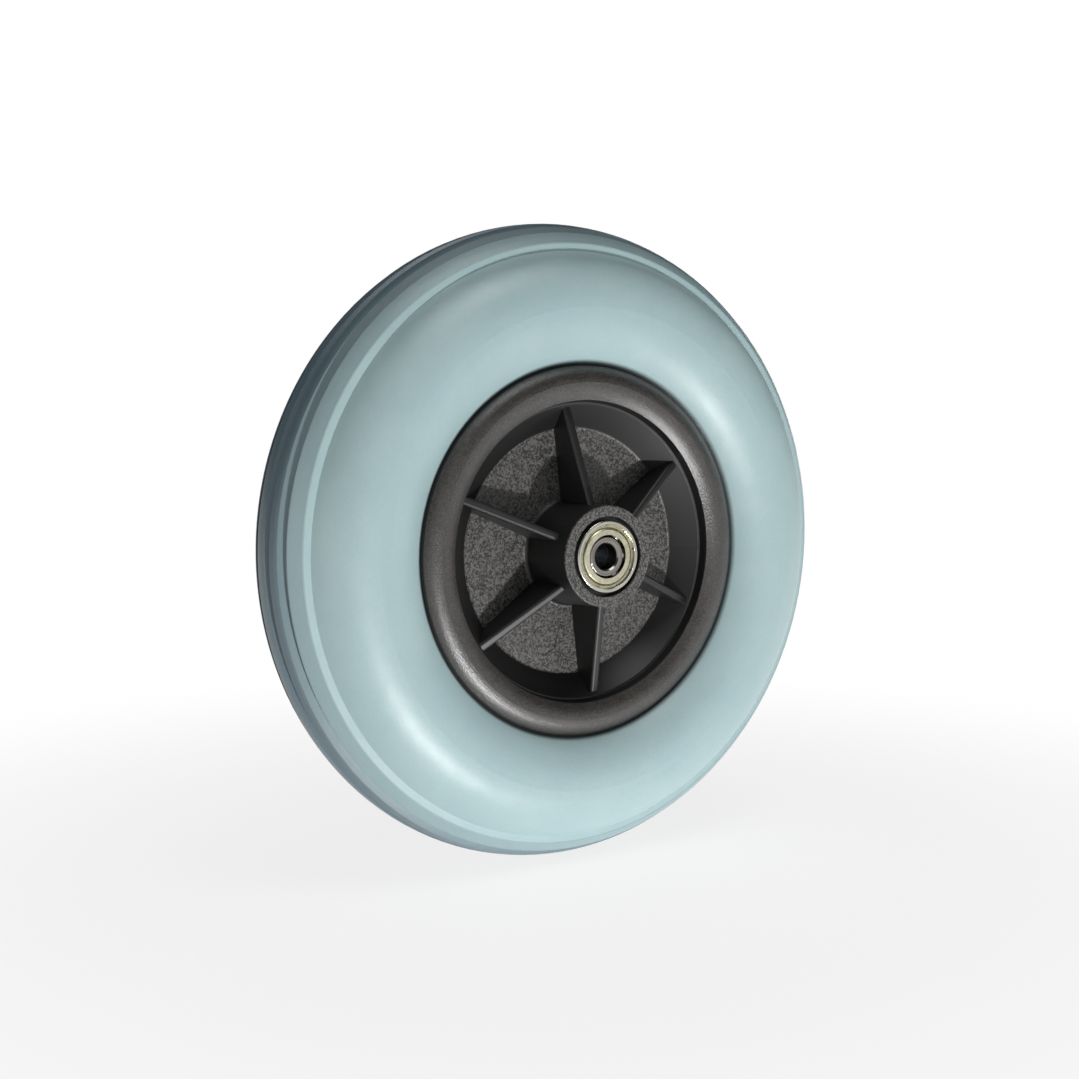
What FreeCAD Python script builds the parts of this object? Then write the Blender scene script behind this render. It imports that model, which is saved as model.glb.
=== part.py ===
import FreeCAD, Part
import math
import os

V = FreeCAD.Vector

# A 200 x 50 mm solid polyurethane wheel on a ribbed one-piece rim with two sealed ball bearings.
# The wheel's centre is the origin and it turns about the Y axis. Its front face looks along -Y.
# Sections are drawn with two numbers: the distance out from the mid-plane, and the radius.

# Tyre
tyre_radius = 100.0
tyre_width = 50.0
tread_width = 28.6
crown_radius = 18.5          # curve of the tread across its width
shoulder_step = 2.45         # height of the flat step that ends the tread on each side
shoulder_lean = 0.3
bulge_radius = 74.0          # where the sidewall is widest
inner_groove_start = 2.3     # distances of the two tread grooves from the mid-plane
inner_groove_width = 2.7
inner_groove_depth = 1.15
outer_groove_start = 8.0
outer_groove_width = 2.9
outer_groove_depth = 1.7
groove_long_side = 0.35      # share of a groove's width under its sloping inner side
groove_short_side = 0.12     # and under its steep outer side
groove_floor_round = 0.2

# Rim
rim_edge_radius = 57.7       # where the flange meets the tyre
rim_edge_width = 34.4        # across both flange edges
flange_lip = 1.4             # thickness of the flange at its edge
flange_lip_round = 0.4
flange_crest_radius = 52.2
flange_crest_rise = 3.1      # how far the crest stands out past the edge
flange_inside_radius = 46.9
flange_inside_rise = 1.5
seat_edge_radius = 52.0      # the rounded channel that holds the tyre
seat_edge_inset = 2.8
seat_floor_radius = 43.5
well_step = 2.9              # drop from the flange to the ledge round the well
ledge_width = 0.6
ledge_fall = 0.1             # how far the ledge slopes down across its width
ledge_lean = 0.6
ledge_corner_round = 0.2
ledge_edge_round = 0.3
web_front = 9.0              # front face of the web, out from the mid-plane
web_thickness = 5.0
web_radius = 37.6            # radius of the flat of the web
well_corner_radius = 38.6    # foot of the sloping well wall, level with the front of the web
rear_wall_draft = 1.5        # how much the deeper rear well widens down to the foot of its slope
well_fillet = 1.3
mark_diameter = 9.6          # round mould mark on the web, between two ribs
mark_radius = 29.0           # distance of its centre from the axle
mark_angle = 250.0           # its place, from the X axis towards Z
mark_line_width = 0.5
mark_line_depth = 0.2

# Hub and ribs
hub_length = 60.0            # across the faces of both bearings
bearing_stand_out = 0.1      # how far a bearing stands out of the hub
hub_radius = 15.5
hub_draft = 0.8              # how much the hub widens towards the web
hub_fillet = 1.4
hub_edge_round = 0.3
hub_recess = 1.25            # width of the channel round the bearing
hub_recess_depth = 2.4
hub_recess_round = 0.25
hub_shoulder = 1.7           # height of the shoulder that each outer ring sits against
rib_count = 6
rib_start_angle = 37.0       # from the X axis, towards Z
rib_thickness = 2.5
rib_draft = 0.9              # how much a rib widens down to the web
rib_hub_drop = 5.8           # from the bearing face down to the top of a rib at the hub
rib_wall_drop = 0.8          # and from the ledge down to it at the well wall
rib_top_round = 1.0
rib_root = 2.0               # how deep a rib runs into the hub, the wall and the web
edge_match = 0.01            # how closely an edge must fit to count as a rib's top edge

# Ball bearings, 8 x 22 x 7 mm with seven balls
bearing_bore = 8.0
bearing_outside = 22.0
bearing_width = 7.0
ball_count = 7
ball_diameter = 3.969
ball_pitch = 15.0            # diameter of the circle through the ball centres
race_clearance = 0.02
race_conformity = 1.048      # groove radius as a multiple of the ball's
ring_chamfer = 0.35
bore_chamfer = 0.45
inner_ring_inset = 0.85      # how far the inner ring's faces lie under the outer ring's
ring_mouth_round = 0.1
ring_edge_round = 0.3
inner_shoulder_height = 0.555
outer_shoulder_height = 0.70
shield_thickness = 0.25
shield_gap = 0.6             # between a shield's hole and the inner ring
shield_inset = 0.25          # how far a shield's face lies under the ring faces
shield_dish = 0.4            # drop from that face to the shield's rim
shield_lip = 0.35            # how deep the rim sits in its groove
shield_ledge = 1.05          # width of the ledge in the outer ring that a shield's rim lies on
shield_rim_width = 1.2       # how much of that rim shows, out to the outer ring
notch_count = 9
notch_start_angle = 12.0
notch_width = 0.5
notch_depth = 0.6
cage_thickness = 0.3
cage_width = 1.5
cage_clearance = 0.045

# Spacer tube between the two inner rings
spacer_wall = 1.6
spacer_bore_clearance = 0.1
spacer_end_round = 0.3


# Outlines

def corner(out, radius, rounding=0.0):
    return ("corner", V(radius, -out, 0), rounding)


def through(out, radius):
    return ("through", V(radius, -out, 0), 0.0)


def rounded_corner(before, point, after, rounding):
    to_before = (before - point).normalize()
    to_after = (after - point).normalize()
    half_angle = to_before.getAngle(to_after) / 2.0
    reach = rounding / math.tan(half_angle)
    halfway = (to_before + to_after).normalize()
    centre = point + halfway * (rounding / math.sin(half_angle))
    return point + to_before * reach, centre - halfway * rounding, point + to_after * reach


def outline_face(stations):
    """A closed flat face. Its stations are corners, some rounded, and points that an arc runs through."""
    edges = []
    count = len(stations)
    ends = []
    for index, (kind, point, rounding) in enumerate(stations):
        if kind == "corner" and rounding > 0.0:
            before = stations[index - 1][1]
            after = stations[(index + 1) % count][1]
            ends.append(rounded_corner(before, point, after, rounding))
        else:
            ends.append((point, point, point))
    for index, (kind, point, rounding) in enumerate(stations):
        if kind == "through":
            continue
        following = (index + 1) % count
        first, middle, last = ends[index]
        if rounding > 0.0:
            edges.append(Part.Arc(first, middle, last).toShape())
        if stations[following][0] == "through":
            arc_end = ends[(following + 1) % count][0]
            edges.append(Part.Arc(last, stations[following][1], arc_end).toShape())
        else:
            edges.append(Part.LineSegment(last, ends[following][0]).toShape())
    return Part.Face(Part.Wire(edges))


def crest_through(crest_out, crest_radius, end_out, end_radius):
    """A point on the arc that lies level at its crest and falls away to its other end."""
    depth = crest_out - end_out
    rise = end_radius - crest_radius
    arc_radius = (depth ** 2 + rise ** 2) / (2.0 * depth)
    half_angle = math.asin(rise / arc_radius) / 2.0
    out = crest_out - arc_radius * (1.0 - math.cos(half_angle))
    return through(out, crest_radius + arc_radius * math.sin(half_angle))


def spun(stations):
    """The solid that an outline sweeps in one full turn about the wheel's axis."""
    return outline_face(stations).revolve(V(0, 0, 0), V(0, 1, 0), 360)


def reversed_side(stations):
    """The same outline on the rear side of the mid-plane, in the opposite order."""
    return [(kind, V(point.x, -point.y, 0), rounding) for kind, point, rounding in reversed(stations)]


def turned(shape, angle):
    copy = shape.copy()
    copy.rotate(V(0, 0, 0), V(0, 1, 0), -angle)
    return copy


def on_rear(shape):
    """A copy on the rear side: the front shape turned half a turn about the vertical."""
    copy = shape.copy()
    copy.rotate(V(0, 0, 0), V(0, 0, 1), 180)
    return copy


# Tyre

def tread_height(out):
    drop = crown_radius - math.sqrt(crown_radius ** 2 - out ** 2)
    return tyre_radius - drop


def tread_land(start, end):
    """The stretch of the crown between two distances from the mid-plane."""
    middle = (start + end) / 2.0
    return [corner(start, tread_height(start)), through(middle, tread_height(middle))]


def groove_floor(start, width, depth):
    """The two floor corners of a groove. The outer side is steep and the inner side slopes."""
    end = start + width
    near = start + width * groove_long_side
    far = end - width * groove_short_side
    return [
        corner(near, tread_height(near) - depth, groove_floor_round),
        corner(far, tread_height(far) - depth, groove_floor_round),
    ]


def tread_half():
    """From the mid-plane out over the tread to the foot of its step, without the first corner."""
    edge = tread_width / 2.0
    inner_end = inner_groove_start + inner_groove_width
    outer_end = outer_groove_start + outer_groove_width
    stations = [corner(inner_groove_start, tread_height(inner_groove_start))]
    stations += groove_floor(inner_groove_start, inner_groove_width, inner_groove_depth)
    stations += tread_land(inner_end, outer_groove_start)
    stations += [corner(outer_groove_start, tread_height(outer_groove_start))]
    stations += groove_floor(outer_groove_start, outer_groove_width, outer_groove_depth)
    stations += tread_land(outer_end, edge)
    stations += [corner(edge, tread_height(edge))]
    return stations


def seat_half():
    """The tyre's seat on the rim, from the flange edge down to the rounded floor."""
    edge = rim_edge_width / 2.0
    return [
        corner(edge, rim_edge_radius),
        corner(edge - flange_lip, rim_edge_radius, flange_lip_round),
        corner(edge - seat_edge_inset, seat_edge_radius),
    ]


def tyre_side():
    """From the tread's last corner over the sidewall to the seat."""
    foot_out = tread_width / 2.0 + shoulder_lean
    foot_radius = tread_height(tread_width / 2.0) - shoulder_step
    edge = rim_edge_width / 2.0
    side = tyre_width / 2.0
    stations = [corner(foot_out, foot_radius), crest_through(side, bulge_radius, foot_out, foot_radius)]
    stations += [corner(side, bulge_radius), crest_through(side, bulge_radius, edge, rim_edge_radius)]
    stations += seat_half()
    return stations


def tyre():
    front = tread_half() + tyre_side()
    crown = [through(0, tyre_radius)]
    floor = [through(0, seat_floor_radius)]
    return spun(front + floor + reversed_side(front) + crown)


# Rim

def flange_front():
    """From the well wall's ledge out over the rounded flange to its edge."""
    edge = rim_edge_width / 2.0
    inside = edge + flange_inside_rise
    ledge = inside - well_step
    crest = edge + flange_crest_rise
    step_foot = flange_inside_radius - ledge_lean
    return [
        corner(ledge - ledge_fall, step_foot - ledge_width, ledge_edge_round),
        corner(ledge, step_foot, ledge_corner_round),
        corner(inside, flange_inside_radius),
        crest_through(crest, flange_crest_radius, inside, flange_inside_radius),
        corner(crest, flange_crest_radius),
        crest_through(crest, flange_crest_radius, edge, rim_edge_radius),
    ]


def hub_front():
    """The hub's outside and face, from the foot at the web in to the bearing seat's shoulder."""
    face = hub_length / 2.0 - bearing_stand_out
    seat = bearing_outside / 2.0
    shoulder = hub_length / 2.0 - bearing_width
    return [
        corner(shoulder, seat - hub_shoulder),
        corner(shoulder, seat),
        corner(face - hub_recess_depth, seat),
        corner(face - hub_recess_depth, seat + hub_recess),
        corner(face, seat + hub_recess, hub_recess_round),
        corner(face, hub_radius, hub_edge_round),
    ]


def rim_body():
    """The rim without its ribs: hub, web, well walls, flanges and the tyre's seat."""
    web_rear = web_front - web_thickness
    foot = hub_radius + hub_draft
    front = hub_front()
    front += [corner(web_front, foot, hub_fillet), corner(web_front, well_corner_radius, well_fillet)]
    front += flange_front() + seat_half()
    rear = hub_front()
    rear += [corner(-web_rear, foot, hub_fillet), corner(-web_rear, web_radius, well_fillet)]
    rear += [corner(web_front, web_radius + rear_wall_draft)]
    rear += flange_front() + seat_half()
    floor = [through(0, seat_floor_radius)]
    return spun(front + floor + reversed_side(rear))


def rib(web_side):
    """One rib of the front side, lying along X. web_side is the web's face there."""
    wall_top = rim_edge_width / 2.0 + flange_inside_rise - well_step - rib_wall_drop
    hub_top = hub_length / 2.0 - rib_hub_drop
    wall = flange_inside_radius - ledge_lean - ledge_width
    start = hub_radius - rib_root
    end = wall + rib_root / 2.0
    foot = well_corner_radius + rib_root
    slope = (hub_top - wall_top) / (wall - hub_radius)
    start_top = hub_top + slope * (hub_radius - start)
    end_top = wall_top - slope * (end - wall)
    base = web_side - rib_root
    wide = (rib_thickness + rib_draft) / 2.0
    narrow = rib_thickness / 2.0
    section = [V(start, -base, -wide), V(start, -start_top, -narrow)]
    section += [V(start, -start_top, narrow), V(start, -base, wide)]
    prism = Part.Face(Part.makePolygon(section + section[:1])).extrude(V(end - start, 0, 0))
    side = [V(start, -base, -wide), V(start, -start_top, -wide), V(end, -end_top, -wide)]
    side += [V(foot, -web_front, -wide), V(foot, -base, -wide)]
    plate = Part.Face(Part.makePolygon(side + side[:1])).extrude(V(0, 0, wide * 2.0))
    blank = prism.common(plate)
    tops = [edge for edge in blank.Edges if is_rib_top(edge, start, end, slope)]
    return blank.makeFillet(rib_top_round, tops)


def is_rib_top(edge, start, end, slope):
    first = edge.Vertexes[0].Point
    last = edge.Vertexes[-1].Point
    spans = abs(abs(last.x - first.x) - (end - start)) < edge_match
    falls = abs(abs(last.y - first.y) - slope * (end - start)) < edge_match
    return spans and falls


def mould_mark():
    """The fine ring groove that a round mould insert leaves in the front of the web."""
    outside = mark_diameter / 2.0
    floor = web_front - mark_line_depth
    ring = spun([
        corner(floor, outside - mark_line_width),
        corner(web_front, outside - mark_line_width),
        corner(web_front, outside),
        corner(floor, outside),
    ])
    ring.translate(V(mark_radius, 0, 0))
    return turned(ring, mark_angle)


def rim():
    body = rim_body()
    front_rib = rib(web_front)
    rear_rib = on_rear(rib(web_thickness - web_front))
    step = 360.0 / rib_count
    ribs = []
    for index in range(rib_count):
        angle = rib_start_angle + index * step
        ribs.append(turned(front_rib, angle))
        ribs.append(turned(rear_rib, angle))
    return body.fuse(ribs).removeSplitter().cut(mould_mark())


# Ball bearing, drawn about its own centre and moved out to the front of the hub

pitch_radius = ball_pitch / 2.0
ball_radius = ball_diameter / 2.0
groove_radius = ball_radius * race_conformity
outer_race = pitch_radius + ball_radius + race_clearance
inner_race = pitch_radius - ball_radius - race_clearance
outer_shoulder = outer_race - outer_shoulder_height
inner_shoulder = inner_race + inner_shoulder_height
half_width = bearing_width / 2.0
shield_rim_out = half_width - shield_inset - shield_dish
groove_out = shield_rim_out - shield_thickness
mouth_radius = outer_shoulder + shield_ledge
shield_groove_radius = mouth_radius + shield_lip


def race_reach(shoulder_gap):
    return math.sqrt(groove_radius ** 2 - (groove_radius - shoulder_gap) ** 2)


def outer_ring():
    reach = race_reach(outer_shoulder_height)
    outside = bearing_outside / 2.0
    side = [
        corner(reach, outer_shoulder),
        corner(groove_out, outer_shoulder),
        corner(groove_out, shield_groove_radius),
        corner(shield_rim_out, shield_groove_radius),
        corner(shield_rim_out, mouth_radius),
        corner(half_width, mouth_radius, ring_mouth_round),
        corner(half_width, outside, ring_chamfer),
    ]
    return spun(side + reversed_side(side) + [through(0, outer_race)])


def inner_ring():
    reach = race_reach(inner_shoulder_height)
    bore = bearing_bore / 2.0
    face = half_width - inner_ring_inset
    side = [
        corner(reach, inner_shoulder),
        corner(face, inner_shoulder, ring_edge_round),
        corner(face, bore + bore_chamfer),
        corner(face - bore_chamfer, bore),
    ]
    return spun(side + reversed_side(side) + [through(0, inner_race)])


def shield():
    """The front shield: a dished washer whose rim is notched where it is crimped in."""
    top = half_width - shield_inset
    hole = inner_shoulder + shield_gap
    rim_radius = shield_groove_radius
    shoulder = mouth_radius - shield_rim_width
    washer = spun([
        corner(top, hole),
        corner(top, shoulder - shield_dish, shield_thickness),
        corner(shield_rim_out, shoulder),
        corner(shield_rim_out, rim_radius),
        corner(groove_out, rim_radius),
        corner(groove_out, shoulder - shield_thickness / 2.0),
        corner(top - shield_thickness, shoulder - shield_dish - shield_thickness / 2.0),
        corner(top - shield_thickness, hole),
    ])
    notch = Part.makeBox(notch_depth * 2.0, bearing_width, notch_width)
    notch.translate(V(mouth_radius - notch_depth, -half_width, -notch_width / 2.0))
    step = 360.0 / notch_count
    notches = [turned(notch, notch_start_angle + index * step) for index in range(notch_count)]
    return washer.cut(notches)


def ball_angles():
    step = 360.0 / ball_count
    return [index * step for index in range(ball_count)]


def cage_half():
    """The front half of a pressed ribbon cage: flat between the balls and cupped round each."""
    inside = pitch_radius - cage_width / 2.0
    outside = pitch_radius + cage_width / 2.0
    pocket = ball_radius + cage_clearance
    cup = pocket + cage_thickness
    band = spun([
        corner(0, inside),
        corner(cup, inside),
        corner(cup, outside),
        corner(0, outside),
    ])
    flat = spun([
        corner(0, inside),
        corner(cage_thickness, inside),
        corner(cage_thickness, outside),
        corner(0, outside),
    ])
    cups = [band.common(sphere_at(angle, cup)) for angle in ball_angles()]
    pockets = [sphere_at(angle, pocket) for angle in ball_angles()]
    return flat.fuse(cups).cut(pockets).removeSplitter()


def sphere_at(angle, radius):
    """A sphere on the pitch circle, with its poles along the wheel's axis."""
    lean = math.radians(angle)
    centre = V(pitch_radius * math.cos(lean), 0, pitch_radius * math.sin(lean))
    return Part.makeSphere(radius, centre, V(0, 1, 0))


def bearing():
    """The pieces of the front bearing by name, at the bearing's own centre."""
    front_half = cage_half()
    front_shield = shield()
    pieces = {
        "outer_ring": outer_ring(),
        "inner_ring": inner_ring(),
        "outside_shield": front_shield,
        "inside_shield": on_rear(front_shield),
        "outside_cage_half": front_half,
        "inside_cage_half": front_half.mirror(V(0, 0, 0), V(0, 1, 0)),
    }
    for number, angle in enumerate(ball_angles(), 1):
        pieces["ball_" + str(number)] = sphere_at(angle, ball_radius)
    return pieces


# Spacer

def spacer():
    bore = bearing_bore / 2.0 + spacer_bore_clearance
    outside = bore + spacer_wall
    end = hub_length / 2.0 - bearing_width + inner_ring_inset
    side = [corner(end, outside, spacer_end_round), corner(end, bore)]
    return spun(side + reversed_side(side))


# Whole wheel

def wheel_pieces():
    pieces = {"tyre": tyre(), "rim": rim(), "spacer_tube": spacer()}
    centre_out = hub_length / 2.0 - half_width
    for name, shape in bearing().items():
        front = shape.copy()
        front.translate(V(0, -centre_out, 0))
        pieces["front_" + name] = front
        pieces["rear_" + name] = on_rear(front)
    return pieces


os.makedirs("parts", exist_ok=True)
for node, shape in wheel_pieces().items():
    shape.exportStep("parts/" + node + ".step")
    print(node, len(shape.Solids), shape.isValid(), round(shape.Volume, 2))
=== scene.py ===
import math

import bpy
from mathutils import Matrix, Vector

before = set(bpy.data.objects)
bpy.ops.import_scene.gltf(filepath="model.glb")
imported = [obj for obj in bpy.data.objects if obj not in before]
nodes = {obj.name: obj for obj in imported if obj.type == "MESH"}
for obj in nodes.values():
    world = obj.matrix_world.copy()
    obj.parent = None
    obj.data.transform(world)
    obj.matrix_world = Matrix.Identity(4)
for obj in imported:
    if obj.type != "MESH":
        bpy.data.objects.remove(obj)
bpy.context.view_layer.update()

# A solid polyurethane wheel on a ribbed nylon rim, in metres. It turns about Y and its front looks
# along -Y. The sizes below are in millimetres, and mm turns them into metres.
mm = 0.001


def toLinear(code):
    # sRGB hex to the linear colour that a shader takes
    channels = [int(code[at:at + 2], 16) / 255 for at in (1, 3, 5)]
    return [c / 12.92 if c <= 0.04045 else ((c + 0.055) / 1.055) ** 2.4 for c in channels] + [1.0]


def addNode(tree, kind, inputs=None, **settings):
    # inputs hold a socket to link, or a plain value
    node = tree.nodes.new(kind)
    for name, value in settings.items():
        setattr(node, name, value)
    for name, value in (inputs or {}).items():
        if isinstance(value, bpy.types.NodeSocket):
            tree.links.new(value, node.inputs[name])
        else:
            node.inputs[name].default_value = value
    return node


def newMaterial(name):
    material = bpy.data.materials.new(name)
    material.use_nodes = True
    tree = material.node_tree
    tree.nodes.clear()
    return material, tree


def finishMaterial(tree, shader):
    addNode(tree, "ShaderNodeOutputMaterial", {"Surface": shader.outputs[0]})


# Camera: the wheel is seen from its front left, from a little above the axle. The camera was fitted to
# the wheel's circles. That puts the lens's axis below the middle of the picture, and the shift follows it.

cameraFit = {
    "azimuth": -32.12,      # degrees, from straight in front towards the left
    "elevation": 10.812,    # degrees that the lens looks down
    "distance": 470.19,     # mm from the wheel's centre, along the lens's axis
    "focalPixels": 1464.3,  # focal length, in pixels of the photograph
    "imagePixels": 1079.0,
    "lensAxisAt": 702.0,    # height of the lens's axis in the picture, in pixels from the top
    "centreAt": (555.02, 549.71),   # pixel where the wheel's centre falls
    "sensor": 36.0,         # mm
    "nearest": 10.0,        # mm, anything closer isn't drawn
}


def makeCamera(fit):
    azimuth, elevation = math.radians(fit["azimuth"]), math.radians(fit["elevation"])
    back = Vector((
        math.sin(azimuth) * math.cos(elevation),
        -math.cos(azimuth) * math.cos(elevation),
        math.sin(elevation),
    ))
    right = Vector((math.cos(azimuth), math.sin(azimuth), 0))
    up = back.cross(right)
    middle = fit["imagePixels"] / 2
    perPixel = fit["distance"] / fit["focalPixels"]
    across = (fit["centreAt"][0] - middle) * perPixel
    down = (fit["centreAt"][1] - fit["lensAxisAt"]) * perPixel
    data = bpy.data.cameras.new("camera")
    data.sensor_width = fit["sensor"]
    data.lens = fit["focalPixels"] / fit["imagePixels"] * fit["sensor"]
    data.shift_y = (fit["lensAxisAt"] - middle) / fit["imagePixels"]
    data.clip_start = fit["nearest"] * mm
    camera = bpy.data.objects.new("camera", data)
    camera.location = (back * fit["distance"] - right * across + up * down) * mm
    camera.rotation_euler = (-back).to_track_quat("-Z", "Y").to_euler()
    bpy.context.collection.objects.link(camera)
    bpy.context.scene.camera = camera


makeCamera(cameraFit)
print("camera placed")


# Studio: a pale floor that runs out into a white surround, and soft lamps

studio = {
    "floorAt": -100.0,            # mm, level with the bottom of the tread
    "floorGap": 0.1,              # and a hair under it
    "floorSize": 8000.0,
    "floorColour": "#e4e4e2",
    "floorOwnWhite": 0.82,        # share of the floor's white that is its own, near the wheel
    "floorFadeFrom": 110.0,       # mm from the point under the wheel: from here the floor fades
    "floorFadeTo": 380.0,         # and from here it is white
    "surroundColour": "#ffffff",
    "overheadColour": "#2c2e30",  # what shiny faces see high above
    "overheadFrom": -0.02,        # height on the sky, 0 at the horizon and 1 straight up
    "overheadTo": 0.15,
    "fillColour": "#eef4ff",
    "fillStrength": 0.05,
    # name: azimuth, elevation, distance and width in mm, watts
    "lamps": {
        "keyLamp": (-1, -36, 1100, 60, 9.4),
        "frontLamp": (-20, 20, 1300, 800, 0.9),
        "topLamp": (0, 68, 1100, 600, 4.2),
        "leftLamp": (-80, 5, 1100, 600, 1.7),
        "rightLamp": (58, -24, 1100, 450, 2.4),
        "rearLamp": (140, 5, 1200, 700, 5.0),     # for views from behind
    },
}


def aimed(azimuth, elevation):
    a, e = math.radians(azimuth), math.radians(elevation)
    return Vector((math.sin(a) * math.cos(e), -math.cos(a) * math.cos(e), math.sin(e)))


def seenDirectly(tree):
    # 1 for what the camera, a reflection or glass sees, 0 for light that falls on a surface
    path = addNode(tree, "ShaderNodeLightPath")
    either = addNode(tree, "ShaderNodeMath", {
        0: path.outputs["Is Camera Ray"], 1: path.outputs["Is Glossy Ray"]}, operation="MAXIMUM")
    return addNode(tree, "ShaderNodeMath", {
        0: either.outputs[0], 1: path.outputs["Is Transmission Ray"]}, operation="MAXIMUM").outputs[0]


def makeSurround(plan):
    world = bpy.data.worlds.new("surround")
    world.use_nodes = True
    tree = world.node_tree
    tree.nodes.clear()
    place = addNode(tree, "ShaderNodeTexCoord")
    sky = addNode(tree, "ShaderNodeSeparateXYZ", {0: place.outputs["Generated"]})
    height = addNode(tree, "ShaderNodeMapRange", {
        "Value": sky.outputs["Z"], "From Min": plan["overheadFrom"], "From Max": plan["overheadTo"]})
    path = addNode(tree, "ShaderNodeLightPath")
    # the camera itself sees white overhead, and only what shiny faces mirror is darker there
    mirrored = addNode(tree, "ShaderNodeMath", {
        0: 1.0, 1: path.outputs["Is Camera Ray"]}, operation="SUBTRACT")
    darker = addNode(tree, "ShaderNodeMath", {
        0: height.outputs[0], 1: mirrored.outputs[0]}, operation="MULTIPLY")
    shade = addNode(tree, "ShaderNodeMixRGB", {
        0: darker.outputs[0], 1: toLinear(plan["surroundColour"]), 2: toLinear(plan["overheadColour"])})
    white = addNode(tree, "ShaderNodeBackground", {"Color": shade.outputs[0], "Strength": 1.0})
    fill = addNode(tree, "ShaderNodeBackground", {
        "Color": toLinear(plan["fillColour"]), "Strength": plan["fillStrength"]})
    mix = addNode(tree, "ShaderNodeMixShader", {
        0: seenDirectly(tree), 1: fill.outputs[0], 2: white.outputs[0]})
    addNode(tree, "ShaderNodeOutputWorld", {"Surface": mix.outputs[0]})
    bpy.context.scene.world = world


def makeFloor(plan):
    half = plan["floorSize"] / 2 * mm
    mesh = bpy.data.meshes.new("floor")
    corners = [(-half, -half, 0), (half, -half, 0), (half, half, 0), (-half, half, 0)]
    mesh.from_pydata(corners, [], [(0, 1, 2, 3)])
    floor = bpy.data.objects.new("floor", mesh)
    floor.location.z = (plan["floorAt"] - plan["floorGap"]) * mm
    floor.visible_shadow = False      # the low lamps stand under its level
    bpy.context.collection.objects.link(floor)
    material, tree = newMaterial("paintedBoard")
    place = addNode(tree, "ShaderNodeTexCoord")
    away = addNode(tree, "ShaderNodeVectorMath", {0: place.outputs["Object"]}, operation="LENGTH")
    ownWhite = addNode(tree, "ShaderNodeMapRange", {
        "Value": away.outputs["Value"],
        "From Min": plan["floorFadeFrom"] * mm, "From Max": plan["floorFadeTo"] * mm,
        "To Min": plan["floorOwnWhite"], "To Max": 1.0}, interpolation_type="SMOOTHSTEP")
    share = addNode(tree, "ShaderNodeMath", {
        0: seenDirectly(tree), 1: ownWhite.outputs[0]}, operation="MULTIPLY")
    lit = addNode(tree, "ShaderNodeBsdfDiffuse", {"Color": toLinear(plan["floorColour"])})
    own = addNode(tree, "ShaderNodeEmission", {"Color": (1, 1, 1, 1), "Strength": 1.0})
    mix = addNode(tree, "ShaderNodeMixShader", {
        0: share.outputs[0], 1: lit.outputs[0], 2: own.outputs[0]})
    finishMaterial(tree, mix)
    mesh.materials.append(material)


def makeLamps(plan):
    for name, (azimuth, elevation, distance, width, watts) in plan["lamps"].items():
        data = bpy.data.lights.new(name, "AREA")
        data.shape = "DISK"
        data.size = width * mm
        data.energy = watts
        lamp = bpy.data.objects.new(name, data)
        away = aimed(azimuth, elevation)
        lamp.location = away * distance * mm
        lamp.rotation_euler = away.to_track_quat("Z", "Y").to_euler()
        bpy.context.collection.objects.link(lamp)


makeSurround(studio)
makeFloor(studio)
makeLamps(studio)
print("studio lit")


# Places on a piece, for the patterns of its finish

def placeInMm(tree):
    # the point on the piece, in mm, so that a pattern's scale is one over its real size
    place = addNode(tree, "ShaderNodeTexCoord")
    return addNode(tree, "ShaderNodeVectorMath", {
        0: place.outputs["Object"], 1: [1 / mm] * 3}, operation="MULTIPLY").outputs[0]


def fromAxle(tree, place):
    # distance from the axle
    parts = addNode(tree, "ShaderNodeSeparateXYZ", {0: place})
    across = addNode(tree, "ShaderNodeCombineXYZ", {"X": parts.outputs["X"], "Y": parts.outputs["Z"]})
    length = addNode(tree, "ShaderNodeVectorMath", {0: across.outputs[0]}, operation="LENGTH")
    return length.outputs["Value"]


def alongAxle(tree, place):
    # place along the axle, less than 0 on the front half
    return addNode(tree, "ShaderNodeSeparateXYZ", {0: place}).outputs["Y"]


def outFromMiddle(tree, place):
    # distance from the mid-plane, to either side
    return addNode(tree, "ShaderNodeMath", {0: alongAxle(tree, place)}, operation="ABSOLUTE").outputs[0]


noiseSpan = (0.3, 0.7)      # nearly all of a noise pattern lies between these


def unevenGloss(tree, pattern, finish):
    # roughness that follows a pattern, spread evenly about the finish's own
    half = finish["roughnessSpread"] / 2
    return addNode(tree, "ShaderNodeMapRange", {
        "Value": pattern, "From Min": noiseSpan[0], "From Max": noiseSpan[1],
        "To Min": finish["roughness"] - half, "To Max": finish["roughness"] + half}).outputs[0]


# Tyre: foamed polyurethane with its own moulded skin. It gives a soft satin sheen, a faint cloudy
# unevenness in the colour and a skin that is never quite flat. Painted shade darkens the grooves' far
# corners, the seam at the rim and the tread towards its crown.

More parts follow.
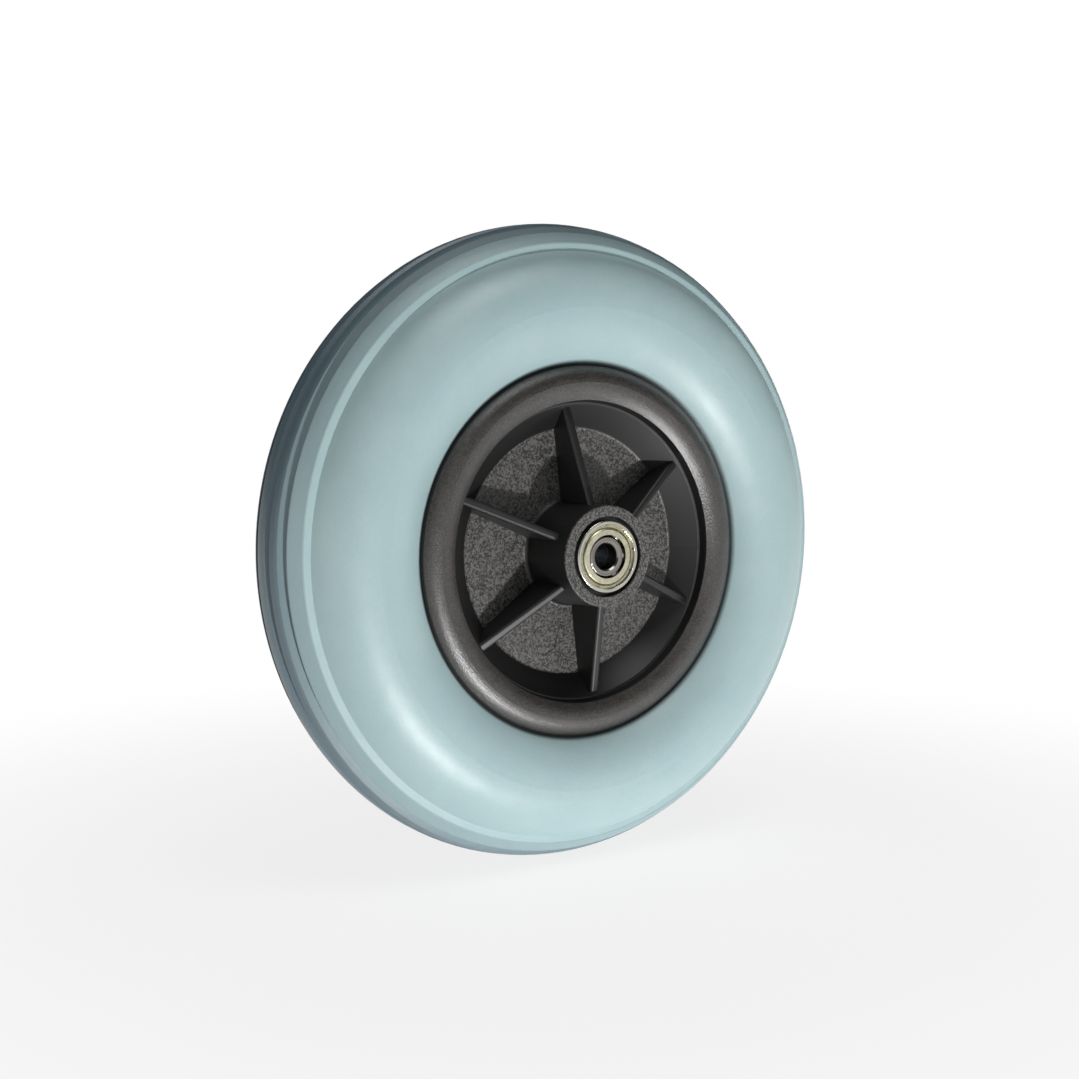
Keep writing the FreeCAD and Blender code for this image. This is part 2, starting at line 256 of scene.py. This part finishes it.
tyreFinish = {
    "colour": "#a1babd",
    "cloudColour": "#acc2c3",
    "speckColour": "#8fa9ad",
    "cloudSize": 17.0,       # mm
    "cloudShare": 0.5,
    "cloudSpan": (0.35, 0.7),     # part of the pattern over which the clouds come up
    "speckSize": 1.1,
    "speckShare": 0.16,
    "speckSpan": (0.48, 0.75),
    "roughness": 0.46,
    "roughnessSpread": 0.10,
    "ior": 1.5,
    "skinGloss": 0.4,
    "skinRoughness": 0.42,
    "waveSize": 7.0,         # slow unevenness of the skin
    "waveHeight": 0.13,
    "poreSize": 0.7,
    "poreHeight": 0.04,
    "creviceShadeColour": "#0a1216",  # painted shade in the grooves' far corners and in the seam at the rim
    "creviceShadeFrom": 0.1,          # mm under the tread's surface
    "creviceShadeTo": 0.45,
    "creviceShadeShare": 0.97,
    "creviceShadeLines": ((10.2, 0.75), (4.4, 0.65)),    # mm from the mid-plane, and reach to each side
    "crownShadeColour": "#17344a",     # painted shade, darker towards the tread's crown
    "crownShadeShares": (0.24, 0.74),  # at the tread's edge and on its crown
    "crownFrom": 11.5,            # mm from the mid-plane
    "crownTo": 6.5,
    "treadRadius": 100.0,
    "treadCurve": 18.5,       # curve of the tread across its width
    "treadEdge": 14.35,
    "seamRadius": 58.1,       # mm from the axle, where the tyre meets the rim
    "seamReach": 1.0,
}


def paintedTyreShade(tree, place, finish):
    # shares of painted shade: in the grooves' far corners and the seam at the rim, and on the tread
    # towards its crown
    radius = fromAxle(tree, place)
    out = outFromMiddle(tree, place)
    square = addNode(tree, "ShaderNodeMath", {0: out, 1: out}, operation="MULTIPLY")
    left = addNode(tree, "ShaderNodeMath", {
        0: finish["treadCurve"] ** 2, 1: square.outputs[0]}, operation="SUBTRACT")
    curve = addNode(tree, "ShaderNodeMath", {0: left.outputs[0]}, operation="SQRT")
    height = addNode(tree, "ShaderNodeMath", {
        0: curve.outputs[0], 1: finish["treadRadius"] - finish["treadCurve"]}, operation="ADD")
    depth = addNode(tree, "ShaderNodeMath", {0: height.outputs[0], 1: radius}, operation="SUBTRACT")
    byDepth = addNode(tree, "ShaderNodeMapRange", {
        "Value": depth.outputs[0], "From Min": finish["creviceShadeFrom"], "From Max": finish["creviceShadeTo"],
        "To Max": finish["creviceShadeShare"]})
    lines = [addNode(tree, "ShaderNodeMath", {0: out, 1: middle, 2: reach}, operation="COMPARE")
             for middle, reach in finish["creviceShadeLines"]]
    line = addNode(tree, "ShaderNodeMath", {
        0: lines[0].outputs[0], 1: lines[1].outputs[0]}, operation="MAXIMUM")
    deep = addNode(tree, "ShaderNodeMath", {
        0: byDepth.outputs[0], 1: line.outputs[0]}, operation="MULTIPLY")
    onTread = addNode(tree, "ShaderNodeMath", {0: out, 1: finish["treadEdge"]}, operation="LESS_THAN")
    inGroove = addNode(tree, "ShaderNodeMath", {
        0: deep.outputs[0], 1: onTread.outputs[0]}, operation="MULTIPLY")
    towardsCrown = addNode(tree, "ShaderNodeMapRange", {
        "Value": out, "From Min": finish["crownFrom"], "From Max": finish["crownTo"],
        "To Min": finish["crownShadeShares"][0], "To Max": finish["crownShadeShares"][1]})
    onLand = addNode(tree, "ShaderNodeMath", {
        0: towardsCrown.outputs[0], 1: onTread.outputs[0]}, operation="MULTIPLY")
    inSeam = addNode(tree, "ShaderNodeMapRange", {
        "Value": radius, "From Min": finish["seamRadius"],
        "From Max": finish["seamRadius"] + finish["seamReach"],
        "To Min": finish["creviceShadeShare"], "To Max": 0.0})
    creviceShade = addNode(tree, "ShaderNodeMath", {
        0: inGroove.outputs[0], 1: inSeam.outputs[0]}, operation="MAXIMUM")
    return creviceShade.outputs[0], onLand.outputs[0]


def mouldedPolyurethane(finish):
    material, tree = newMaterial("mouldedPolyurethane")
    place = placeInMm(tree)
    clouds = addNode(tree, "ShaderNodeTexNoise", {
        "Vector": place, "Scale": 1 / finish["cloudSize"], "Detail": 4.0, "Roughness": 0.6})
    cloudShare = addNode(tree, "ShaderNodeMapRange", {
        "Value": clouds.outputs["Fac"], "From Min": finish["cloudSpan"][0],
        "From Max": finish["cloudSpan"][1], "To Max": finish["cloudShare"]})
    specks = addNode(tree, "ShaderNodeTexNoise", {
        "Vector": place, "Scale": 1 / finish["speckSize"], "Detail": 2.0, "Roughness": 0.5})
    speckShare = addNode(tree, "ShaderNodeMapRange", {
        "Value": specks.outputs["Fac"], "From Min": finish["speckSpan"][0],
        "From Max": finish["speckSpan"][1], "To Max": finish["speckShare"]})
    cloudy = addNode(tree, "ShaderNodeMixRGB", {
        0: cloudShare.outputs[0], 1: toLinear(finish["colour"]), 2: toLinear(finish["cloudColour"])})
    colour = addNode(tree, "ShaderNodeMixRGB", {
        0: speckShare.outputs[0], 1: cloudy.outputs[0], 2: toLinear(finish["speckColour"])})
    # painted shade: dark in the grooves' far corners and the seam at the rim, and darker towards the
    # tread's crown
    creviceShade, crownShade = paintedTyreShade(tree, place, finish)
    crownShaded = addNode(tree, "ShaderNodeMixRGB", {
        0: crownShade, 1: colour.outputs[0], 2: toLinear(finish["crownShadeColour"])})
    shadedColour = addNode(tree, "ShaderNodeMixRGB", {
        0: creviceShade, 1: crownShaded.outputs[0], 2: toLinear(finish["creviceShadeColour"])})
    waves = addNode(tree, "ShaderNodeTexNoise", {
        "Vector": place, "Scale": 1 / finish["waveSize"], "Detail": 1.0})
    pores = addNode(tree, "ShaderNodeTexNoise", {
        "Vector": place, "Scale": 1 / finish["poreSize"], "Detail": 2.0})
    wavy = addNode(tree, "ShaderNodeBump", {
        "Height": waves.outputs["Fac"], "Distance": finish["waveHeight"] * mm, "Strength": 1.0})
    skin = addNode(tree, "ShaderNodeBump", {
        "Height": pores.outputs["Fac"], "Distance": finish["poreHeight"] * mm, "Strength": 1.0,
        "Normal": wavy.outputs[0]})
    shader = addNode(tree, "ShaderNodeBsdfPrincipled", {
        "Base Color": shadedColour.outputs[0], "IOR": finish["ior"],
        "Roughness": unevenGloss(tree, clouds.outputs["Fac"], finish),
        "Coat Weight": finish["skinGloss"], "Coat Roughness": finish["skinRoughness"],
        "Normal": skin.outputs[0], "Coat Normal": wavy.outputs[0]})
    finishMaterial(tree, shader)
    return material


# Rim: glass-filled nylon from one mould. The web, the hub's faces and the flange take a grain from the
# spark-eroded mould, which breaks up the light. The walls and ribs are smooth, and darker both as smooth
# black nylon and as painted shade of the well.

rimFinish = {
    "pitColour": "#161615",
    "grainColour": "#6e6c69",     # the grain's peaks
    "flangePitColour": "#151312",
    "flangeColour": "#3a3531",
    # smooth black nylon, darkened further as painted shade of the well
    "smoothShadedColour": "#0f0f0f",
    "ior": 1.53,
    "grainRoughness": 0.4,
    "smoothRoughness": 0.5,
    "grainSize": 0.62,        # mm
    "grainHeight": 0.14,
    "grainSpan": (0.43, 0.6),     # part of the pattern over which pits turn into peaks
    "flangeGrainSize": 0.55,
    "flangeGrainHeight": 0.11,
    "smoothWaveSize": 3.5,
    "smoothWaveHeight": 0.02,
    "skinGlosses": (0.08, 0.85),  # of the walls and faces, and of the flange
    "skinRoughness": 0.28,
    "flangeFrom": 46.8,       # mm from the axle: from here out it is flange
    "flangeTo": 57.05,        # and here its smooth dark edge starts
    "hubFaceFrom": 29.2,      # mm from the mid-plane: from here out it is the hub's face
    "webFaces": (-9.0, -4.0),     # mm along the axle, where the web's front and rear faces lie
    "webFaceDepth": 0.45,
    "facingFrom": 0.9,        # how squarely a web face looks along the axle
    "dustColour": "#57524b",  # faint dust is assumed on the grained faces
    "dustSize": 6.0,
    "dustShare": 0.2,
    "dustSpan": (0.45, 0.75),
}


def glassFilledNylon(finish):
    material, tree = newMaterial("glassFilledNylon")
    place = placeInMm(tree)
    along = alongAxle(tree, place)
    onFlange = addNode(tree, "ShaderNodeMath", {
        0: fromAxle(tree, place), 1: (finish["flangeFrom"] + finish["flangeTo"]) / 2,
        2: (finish["flangeTo"] - finish["flangeFrom"]) / 2}, operation="COMPARE")
    onHub = addNode(tree, "ShaderNodeMath", {
        0: outFromMiddle(tree, place), 1: finish["hubFaceFrom"]}, operation="GREATER_THAN")
    look = addNode(tree, "ShaderNodeTexCoord")
    facing = addNode(tree, "ShaderNodeSeparateXYZ", {0: look.outputs["Normal"]})
    square = addNode(tree, "ShaderNodeMath", {0: facing.outputs["Y"]}, operation="ABSOLUTE")
    flat = addNode(tree, "ShaderNodeMath", {
        0: square.outputs[0], 1: finish["facingFrom"]}, operation="GREATER_THAN")
    nearFaces = [addNode(tree, "ShaderNodeMath", {
        0: along, 1: face, 2: finish["webFaceDepth"]}, operation="COMPARE") for face in finish["webFaces"]]
    nearFace = addNode(tree, "ShaderNodeMath", {
        0: nearFaces[0].outputs[0], 1: nearFaces[1].outputs[0]}, operation="MAXIMUM")
    onWeb = addNode(tree, "ShaderNodeMath", {
        0: nearFace.outputs[0], 1: flat.outputs[0]}, operation="MULTIPLY")
    onFace = addNode(tree, "ShaderNodeMath", {
        0: onWeb.outputs[0], 1: onHub.outputs[0]}, operation="MAXIMUM")
    grained = addNode(tree, "ShaderNodeMath", {
        0: onFace.outputs[0], 1: onFlange.outputs[0]}, operation="MAXIMUM")

    dust = addNode(tree, "ShaderNodeTexNoise", {
        "Vector": place, "Scale": 1 / finish["dustSize"], "Detail": 5.0, "Roughness": 0.65})
    dustShare = addNode(tree, "ShaderNodeMapRange", {
        "Value": dust.outputs["Fac"], "From Min": finish["dustSpan"][0],
        "From Max": finish["dustSpan"][1], "To Max": finish["dustShare"]})
    grain = addNode(tree, "ShaderNodeTexNoise", {
        "Vector": place, "Scale": 1 / finish["grainSize"], "Detail": 3.0, "Roughness": 0.7})
    fineGrain = addNode(tree, "ShaderNodeTexNoise", {
        "Vector": place, "Scale": 1 / finish["flangeGrainSize"], "Detail": 3.0, "Roughness": 0.7})
    peaks = addNode(tree, "ShaderNodeMapRange", {
        "Value": grain.outputs["Fac"],
        "From Min": finish["grainSpan"][0], "From Max": finish["grainSpan"][1]})
    finePeaks = addNode(tree, "ShaderNodeMapRange", {
        "Value": fineGrain.outputs["Fac"],
        "From Min": finish["grainSpan"][0], "From Max": finish["grainSpan"][1]})
    faceTone = addNode(tree, "ShaderNodeMixRGB", {
        0: peaks.outputs[0], 1: toLinear(finish["pitColour"]), 2: toLinear(finish["grainColour"])})
    flangeTone = addNode(tree, "ShaderNodeMixRGB", {
        0: finePeaks.outputs[0],
        1: toLinear(finish["flangePitColour"]), 2: toLinear(finish["flangeColour"])})
    # walls and ribs take the smooth colour, which carries painted shade of the well
    facesOrWalls = addNode(tree, "ShaderNodeMixRGB", {
        0: onFace.outputs[0], 1: toLinear(finish["smoothShadedColour"]), 2: faceTone.outputs[0]})
    plain = addNode(tree, "ShaderNodeMixRGB", {
        0: onFlange.outputs[0], 1: facesOrWalls.outputs[0], 2: flangeTone.outputs[0]})
    dusty = addNode(tree, "ShaderNodeMath", {
        0: dustShare.outputs[0], 1: grained.outputs[0]}, operation="MULTIPLY")
    colour = addNode(tree, "ShaderNodeMixRGB", {
        0: dusty.outputs[0], 1: plain.outputs[0], 2: toLinear(finish["dustColour"])})
    roughness = addNode(tree, "ShaderNodeMapRange", {
        "Value": grained.outputs[0],
        "To Min": finish["smoothRoughness"], "To Max": finish["grainRoughness"]})

    wave = addNode(tree, "ShaderNodeTexNoise", {
        "Vector": place, "Scale": 1 / finish["smoothWaveSize"], "Detail": 1.0})
    waved = addNode(tree, "ShaderNodeBump", {
        "Height": wave.outputs["Fac"], "Distance": finish["smoothWaveHeight"] * mm, "Strength": 1.0})
    faceBump = addNode(tree, "ShaderNodeBump", {
        "Height": grain.outputs["Fac"], "Distance": finish["grainHeight"] * mm,
        "Strength": onFace.outputs[0], "Normal": waved.outputs[0]})
    bump = addNode(tree, "ShaderNodeBump", {
        "Height": fineGrain.outputs["Fac"], "Distance": finish["flangeGrainHeight"] * mm,
        "Strength": onFlange.outputs[0], "Normal": faceBump.outputs[0]})
    gloss = addNode(tree, "ShaderNodeMapRange", {
        "Value": onFlange.outputs[0],
        "To Min": finish["skinGlosses"][0], "To Max": finish["skinGlosses"][1]})
    shader = addNode(tree, "ShaderNodeBsdfPrincipled", {
        "Base Color": colour.outputs[0], "Roughness": roughness.outputs[0], "IOR": finish["ior"],
        "Coat Weight": gloss.outputs[0], "Coat Roughness": finish["skinRoughness"],
        "Normal": bump.outputs[0], "Coat Normal": bump.outputs[0]})
    finishMaterial(tree, shader)
    return material


# Bearing rings: hardened steel, ground on the faces. The grinding marks run round the ring, so each
# face shows fine rings of slightly changing gloss. The inner rings, in their recess inside the shields,
# get darker copies of the ring colours: painted shade.

ringFinish = {
    "colours": ("#c6c5bb", "#a3a298"),
    # painted shade: darker copies of the ring colours, for the inner rings in their recess
    "shadedColours": ("#98958f", "#6f6c67"),
    "roughness": 0.24,
    "roughnessSpread": 0.16,
    "markWidth": 0.22,       # mm, the coarser ones that the eye can tell apart
    "markHeight": 0.012,
    "markLength": 9.0,
    "markSpan": (0.35, 0.65),
}


def groundRingSteel(name, finish, colours):
    material, tree = newMaterial(name)
    place = placeInMm(tree)
    radius = fromAxle(tree, place)
    spread = addNode(tree, "ShaderNodeVectorMath", {
        0: place, "Scale": finish["markWidth"] / finish["markLength"]}, operation="SCALE")
    parts = addNode(tree, "ShaderNodeSeparateXYZ", {0: spread.outputs[0]})
    rings = addNode(tree, "ShaderNodeCombineXYZ", {
        "X": radius, "Y": parts.outputs["X"], "Z": parts.outputs["Z"]})
    marks = addNode(tree, "ShaderNodeTexNoise", {
        "Vector": rings.outputs[0], "Scale": 1 / finish["markWidth"], "Detail": 2.0})
    markShare = addNode(tree, "ShaderNodeMapRange", {
        "Value": marks.outputs["Fac"],
        "From Min": finish["markSpan"][0], "From Max": finish["markSpan"][1]})
    colour = addNode(tree, "ShaderNodeMixRGB", {
        0: markShare.outputs[0], 1: toLinear(colours[0]), 2: toLinear(colours[1])})
    bump = addNode(tree, "ShaderNodeBump", {
        "Height": marks.outputs["Fac"], "Distance": finish["markHeight"] * mm, "Strength": 1.0})
    shader = addNode(tree, "ShaderNodeBsdfPrincipled", {
        "Base Color": colour.outputs[0], "Metallic": 1.0,
        "Roughness": unevenGloss(tree, marks.outputs["Fac"], finish), "Normal": bump.outputs[0]})
    finishMaterial(tree, shader)
    return material


# Shields: sheet steel, pressed and taken to be plated with zinc. The sheet keeps a slightly blotchy
# gloss. It looks yellowish in the photograph, most of all on its low rim.

shieldFinish = {
    "colour": "#c9c6b0",
    "castColour": "#8b8560",
    "castSize": 1.6,          # mm
    "castShare": 0.55,
    "castSpan": (0.4, 0.75),
    "castFrom": 8.9,          # mm from the axle, where the low rim starts
    "castFade": 0.4,          # and the width over which its cast comes up
    "rimCast": 0.45,
    "creaseRadius": 8.72,     # the crease under the raised middle, darkened as painted shade
    "creaseReach": 0.2,
    "creaseShadeColour": "#2e2b1c",
    "creaseShadeShare": 0.75,
    "roughness": 0.34,
    "roughnessSpread": 0.16,
    "pressSize": 0.5,
    "pressHeight": 0.01,
}


def platedShieldSteel(finish):
    material, tree = newMaterial("platedShieldSteel")
    place = placeInMm(tree)
    radius = fromAxle(tree, place)
    blotches = addNode(tree, "ShaderNodeTexNoise", {
        "Vector": place, "Scale": 1 / finish["castSize"], "Detail": 3.0, "Roughness": 0.6})
    blotchShare = addNode(tree, "ShaderNodeMapRange", {
        "Value": blotches.outputs["Fac"], "From Min": finish["castSpan"][0],
        "From Max": finish["castSpan"][1], "To Max": finish["castShare"]})
    low = addNode(tree, "ShaderNodeMapRange", {
        "Value": radius, "From Min": finish["castFrom"] - finish["castFade"],
        "From Max": finish["castFrom"], "To Max": finish["rimCast"]})
    share = addNode(tree, "ShaderNodeMath", {
        0: blotchShare.outputs[0], 1: low.outputs[0]}, operation="ADD", use_clamp=True)
    colour = addNode(tree, "ShaderNodeMixRGB", {
        0: share.outputs[0], 1: toLinear(finish["colour"]), 2: toLinear(finish["castColour"])})
    # painted shade in the crease under the shield's raised middle
    crease = addNode(tree, "ShaderNodeMath", {
        0: radius, 1: finish["creaseRadius"], 2: finish["creaseReach"]}, operation="COMPARE")
    creaseShade = addNode(tree, "ShaderNodeMath", {
        0: crease.outputs[0], 1: finish["creaseShadeShare"]}, operation="MULTIPLY")
    creased = addNode(tree, "ShaderNodeMixRGB", {
        0: creaseShade.outputs[0], 1: colour.outputs[0], 2: toLinear(finish["creaseShadeColour"])})
    press = addNode(tree, "ShaderNodeTexNoise", {
        "Vector": place, "Scale": 1 / finish["pressSize"], "Detail": 2.0})
    bump = addNode(tree, "ShaderNodeBump", {
        "Height": press.outputs["Fac"], "Distance": finish["pressHeight"] * mm, "Strength": 1.0})
    shader = addNode(tree, "ShaderNodeBsdfPrincipled", {
        "Base Color": creased.outputs[0], "Metallic": 1.0,
        "Roughness": unevenGloss(tree, blotches.outputs["Fac"], finish), "Normal": bump.outputs[0]})
    finishMaterial(tree, shader)
    return material


# Balls, cages and spacer: lapped chrome steel, pressed steel strip and a drawn tube plated with zinc.
# The shields hide the balls and cages, so their finishes follow what such bearings usually have.

innerFinishes = {
    "lappedBallSteel": {
        "colour": "#d4d4d2", "stainColour": "#b9bab8", "roughness": 0.08, "roughnessSpread": 0.05,
        "grain": (0.8, 0.8, 0.8), "grainHeight": 0.001},
    "pressedCageSteel": {
        "colour": "#b8b4a8", "stainColour": "#948f80", "roughness": 0.34, "roughnessSpread": 0.14,
        "grain": (0.35, 0.35, 0.35), "grainHeight": 0.008},
    "zincPlatedTube": {
        "colour": "#c2c6c8", "stainColour": "#9da3a6", "roughness": 0.30, "roughnessSpread": 0.14,
        "grain": (0.25, 8.0, 0.25), "grainHeight": 0.006},    # drawn marks run along the tube
}


def platedSteel(name, finish):
    material, tree = newMaterial(name)
    place = placeInMm(tree)
    stretched = addNode(tree, "ShaderNodeVectorMath", {0: place, 1: finish["grain"]}, operation="DIVIDE")
    grain = addNode(tree, "ShaderNodeTexNoise", {
        "Vector": stretched.outputs[0], "Scale": 1.0, "Detail": 3.0})
    colour = addNode(tree, "ShaderNodeMixRGB", {
        0: grain.outputs["Fac"], 1: toLinear(finish["colour"]), 2: toLinear(finish["stainColour"])})
    bump = addNode(tree, "ShaderNodeBump", {
        "Height": grain.outputs["Fac"], "Distance": finish["grainHeight"] * mm, "Strength": 1.0})
    shader = addNode(tree, "ShaderNodeBsdfPrincipled", {
        "Base Color": colour.outputs[0], "Metallic": 1.0,
        "Roughness": unevenGloss(tree, grain.outputs["Fac"], finish), "Normal": bump.outputs[0]})
    finishMaterial(tree, shader)
    return material


def dress(part, material):
    for slot in part.material_slots:
        slot.material = material


def dressWheel():
    ringSteel = groundRingSteel("groundRingSteel", ringFinish, ringFinish["colours"])
    # the inner rings get a darker copy of the ring steel as painted shade
    shadedSteel = groundRingSteel("shadedRingSteel", ringFinish, ringFinish["shadedColours"])
    shieldSteel = platedShieldSteel(shieldFinish)
    inner = {name: platedSteel(name, finish) for name, finish in innerFinishes.items()}
    dress(nodes["tyre"], mouldedPolyurethane(tyreFinish))
    dress(nodes["rim"], glassFilledNylon(rimFinish))
    dress(nodes["spacer_tube"], inner["zincPlatedTube"])
    for name, part in nodes.items():
        if "inner_ring" in name:
            dress(part, shadedSteel)
        elif "outer_ring" in name:
            dress(part, ringSteel)
        elif "shield" in name:
            dress(part, shieldSteel)
        elif "ball" in name:
            dress(part, inner["lappedBallSteel"])
        elif "cage" in name:
            dress(part, inner["pressedCageSteel"])


dressWheel()
print("pieces dressed")

bpy.context.scene.view_settings.view_transform = "Standard"
